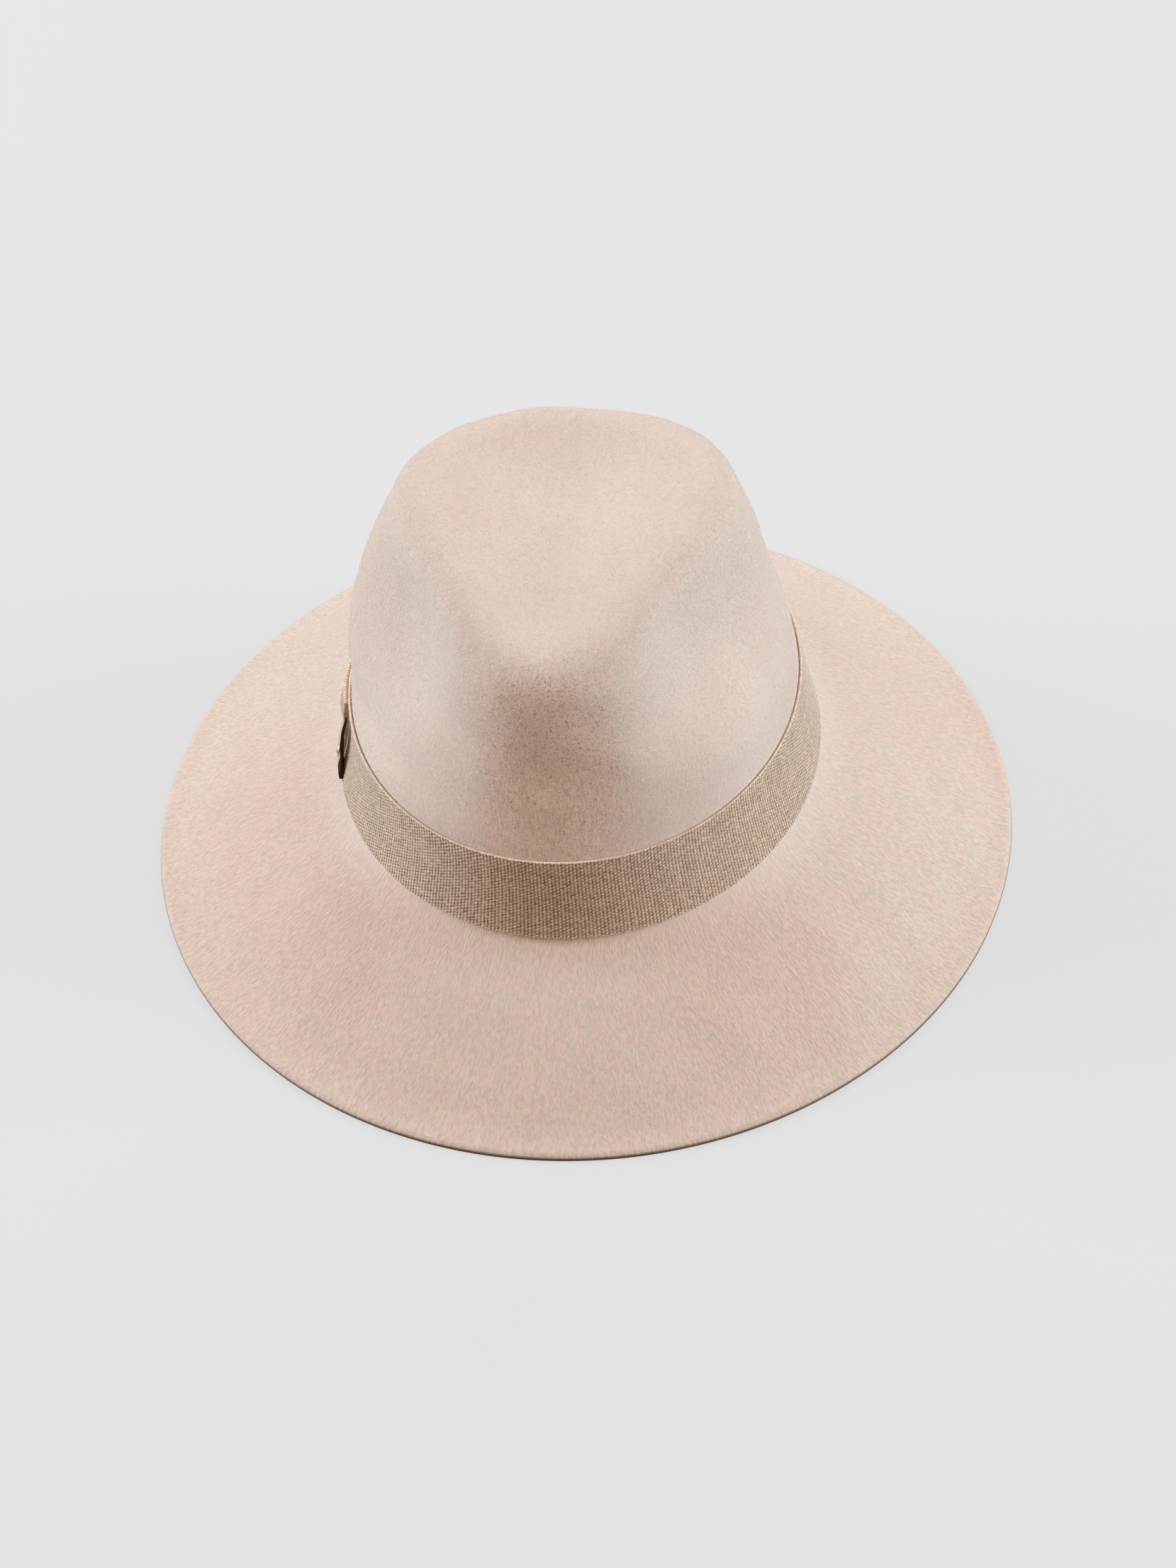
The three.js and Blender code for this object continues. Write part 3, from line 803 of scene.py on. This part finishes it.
# The stud's outline from its back to the middle of its dome, as shares of its radius and height.
STUD_PROFILE = np.array([
    (0.55, 0), (0.96, 0), (1, 0.1), (1, 0.4), (0.95, 0.52), (0.86, 0.55),
    (0.8, 0.48), (0.76, 0.5), (0.66, 0.72), (0.5, 0.87), (0.3, 0.96), (0.12, 1),
])
STUD_SIDES = 48
STUD_SEAT = 0.15  # its back's height over the tab


def brass_stud(material):
    """A turned button: a thin rim, a groove and a low dome."""
    turn = np.arange(STUD_SIDES) / STUD_SIDES * 2 * math.pi
    ring = np.stack([np.cos(turn), np.sin(turn)], -1)
    points = [
        np.concatenate([radius * ring, np.full((STUD_SIDES, 1), height)], 1)
        for radius, height in STUD_PROFILE * (STUD_RADIUS, STUD_HEIGHT)
    ]
    points = np.concatenate([*points, [(0, 0, 0), (0, 0, STUD_HEIGHT)]])
    theta = np.array([math.radians(TAB_MIDDLE)])
    d = np.array([AT["band_top"] - STUD_DROP])
    tab = tab_at(STUD_DROP)
    seat = off_felt(theta, d, np.array([tab["stands"] + tab["thick"] / 2 + STUD_SEAT]))[0]
    turned_back = math.atan2(2 * tab["turned"], tab["wide"])
    normal = Vector(felt_normal(theta - turned_back, d)[0])
    turned = np.array(normal.to_track_quat("Z", "Y").to_matrix())
    faces = closed_faces(len(STUD_PROFILE), STUD_SIDES)
    return make_piece("brass_stud", points @ turned.T + seat, faces, material, "tab_stud")


# Floor, light and camera, with places in metres.

PAPER = "#e3e3e3"
PAPER_GLOW = 0.76  # how far the paper's seen tone comes from its own glow
FLOOR_REACH = 6.0
LIGHT_SIZE = 1.4
LIGHT_AIM = (0, 0, 0.08)
LIGHTS = (
    # name, place, power in watts
    ("light_behind", (0, 2.0, 0.9), 11.6),
    ("light_left", (-1.9, 0.1, 0.9), 33.6),
    ("light_right", (1.9, 0.1, 0.9), 31),
)


def floor():
    """Matt paper. It is seen in one pale tone with a faint shadow, and lights the hat little."""
    corners = [(x * FLOOR_REACH, y * FLOOR_REACH, 0) for x, y in ((-1, -1), (1, -1), (1, 1), (-1, 1))]
    mesh = bpy.data.meshes.new("floor")
    mesh.from_pydata(corners, [], [(0, 1, 2, 3)])
    made, tree = new_material("matt_paper_floor")
    seen = add(tree, "LightPath").outputs["Is Camera Ray"]
    glow = add(tree, "Math", {0: seen, 1: PAPER_GLOW}, operation="MULTIPLY")
    shader = add(tree, "BsdfPrincipled", {
        "Base Color": "#7b8084", "Roughness": 0.9, "Specular IOR Level": 0.0,
        "Emission Color": PAPER, "Emission Strength": glow.outputs[0],
    })
    add(tree, "OutputMaterial", {"Surface": shader.outputs[0]})
    mesh.materials.append(made)
    ground = bpy.data.objects.new("floor", mesh)
    bpy.context.scene.collection.objects.link(ground)


def area_light(name, place, power):
    light = bpy.data.lights.new(name, "AREA")
    light.color = linear("#eaf7ff")[:3]
    light.shape = "DISK"
    light.size = LIGHT_SIZE
    light.energy = power
    lamp = bpy.data.objects.new(name, light)
    lamp.location = place
    lamp.rotation_euler = (Vector(LIGHT_AIM) - Vector(place)).to_track_quat("-Z", "Y").to_euler()
    bpy.context.scene.collection.objects.link(lamp)


def studio():
    """Large soft lights behind the hat and at its sides, none in front, and a pale sky that
    lights the hat in a warmer tone than it is seen in."""
    world = bpy.data.worlds.new("studio_air")
    world.use_nodes = True
    tree = world.node_tree
    seen = add(tree, "LightPath").outputs["Is Camera Ray"]
    air = add(tree, "Mix", {0: seen, 6: "#b69782", 7: PAPER}, data_type="RGBA")
    tree.links.new(air.outputs[2], tree.nodes["Background"].inputs["Color"])
    bpy.context.scene.world = world
    for light in LIGHTS:
        area_light(*light)
    bpy.context.scene.view_settings.view_transform = "Standard"


# The camera's place, fitted to the photo: degrees, and millimetres in the camera's own axes.
CAMERA_AZIMUTH, CAMERA_ELEVATION, CAMERA_ROLL = 9.25, 44.64, -3.3
CAMERA_DISTANCE = 1400.0
CAMERA_AIM = (0.0, 2.0, 42.0)
CAMERA_SHIFT = (2.42, -18.01)
SENSOR = 36
PHOTO_SCALE = 3.83  # pixels to a millimetre at the aim
PHOTO_HEIGHT = 2212


def camera():
    a, e, r = (math.radians(v) for v in (CAMERA_AZIMUTH, CAMERA_ELEVATION, CAMERA_ROLL))
    back = Vector((math.sin(a) * math.cos(e), -math.cos(a) * math.cos(e), math.sin(e)))
    right = Vector((math.cos(a), math.sin(a), 0))
    up = back.cross(right)
    right, up = right * math.cos(r) + up * math.sin(r), up * math.cos(r) - right * math.sin(r)
    place = Vector(CAMERA_AIM) + right * CAMERA_SHIFT[0] + up * CAMERA_SHIFT[1] + back * CAMERA_DISTANCE
    data = bpy.data.cameras.new("photo_camera")
    data.sensor_width = SENSOR
    data.lens = PHOTO_SCALE * CAMERA_DISTANCE / PHOTO_HEIGHT * data.sensor_width
    made = bpy.data.objects.new("photo_camera", data)
    turned = Matrix((right, up, back)).transposed().to_4x4()
    made.matrix_world = Matrix.Translation(place * MM) @ turned
    bpy.context.scene.collection.objects.link(made)
    bpy.context.scene.camera = made


def build():
    felt, hair, weave = wool_felt(), wool_hair(), ribbon_weave()
    hat = felt_hat(felt)
    random = np.random.default_rng(SEED)
    for name, low, high, count, combed, lift in NAP_PATCHES:
        nap(name, low, high, count, combed, lift, random, hair)
    band = woven_ribbon("ribbon_band", "hat_band", GAP, weave)
    end = woven_ribbon("ribbon_end", "band_end", 2 * GAP + RIBBON_THICKNESS, weave, (LAP_FROM, LAP_TO))
    leather_tab(cut_leather())
    brass_stud(stud_brass())
    floor()
    studio()
    camera()


build()
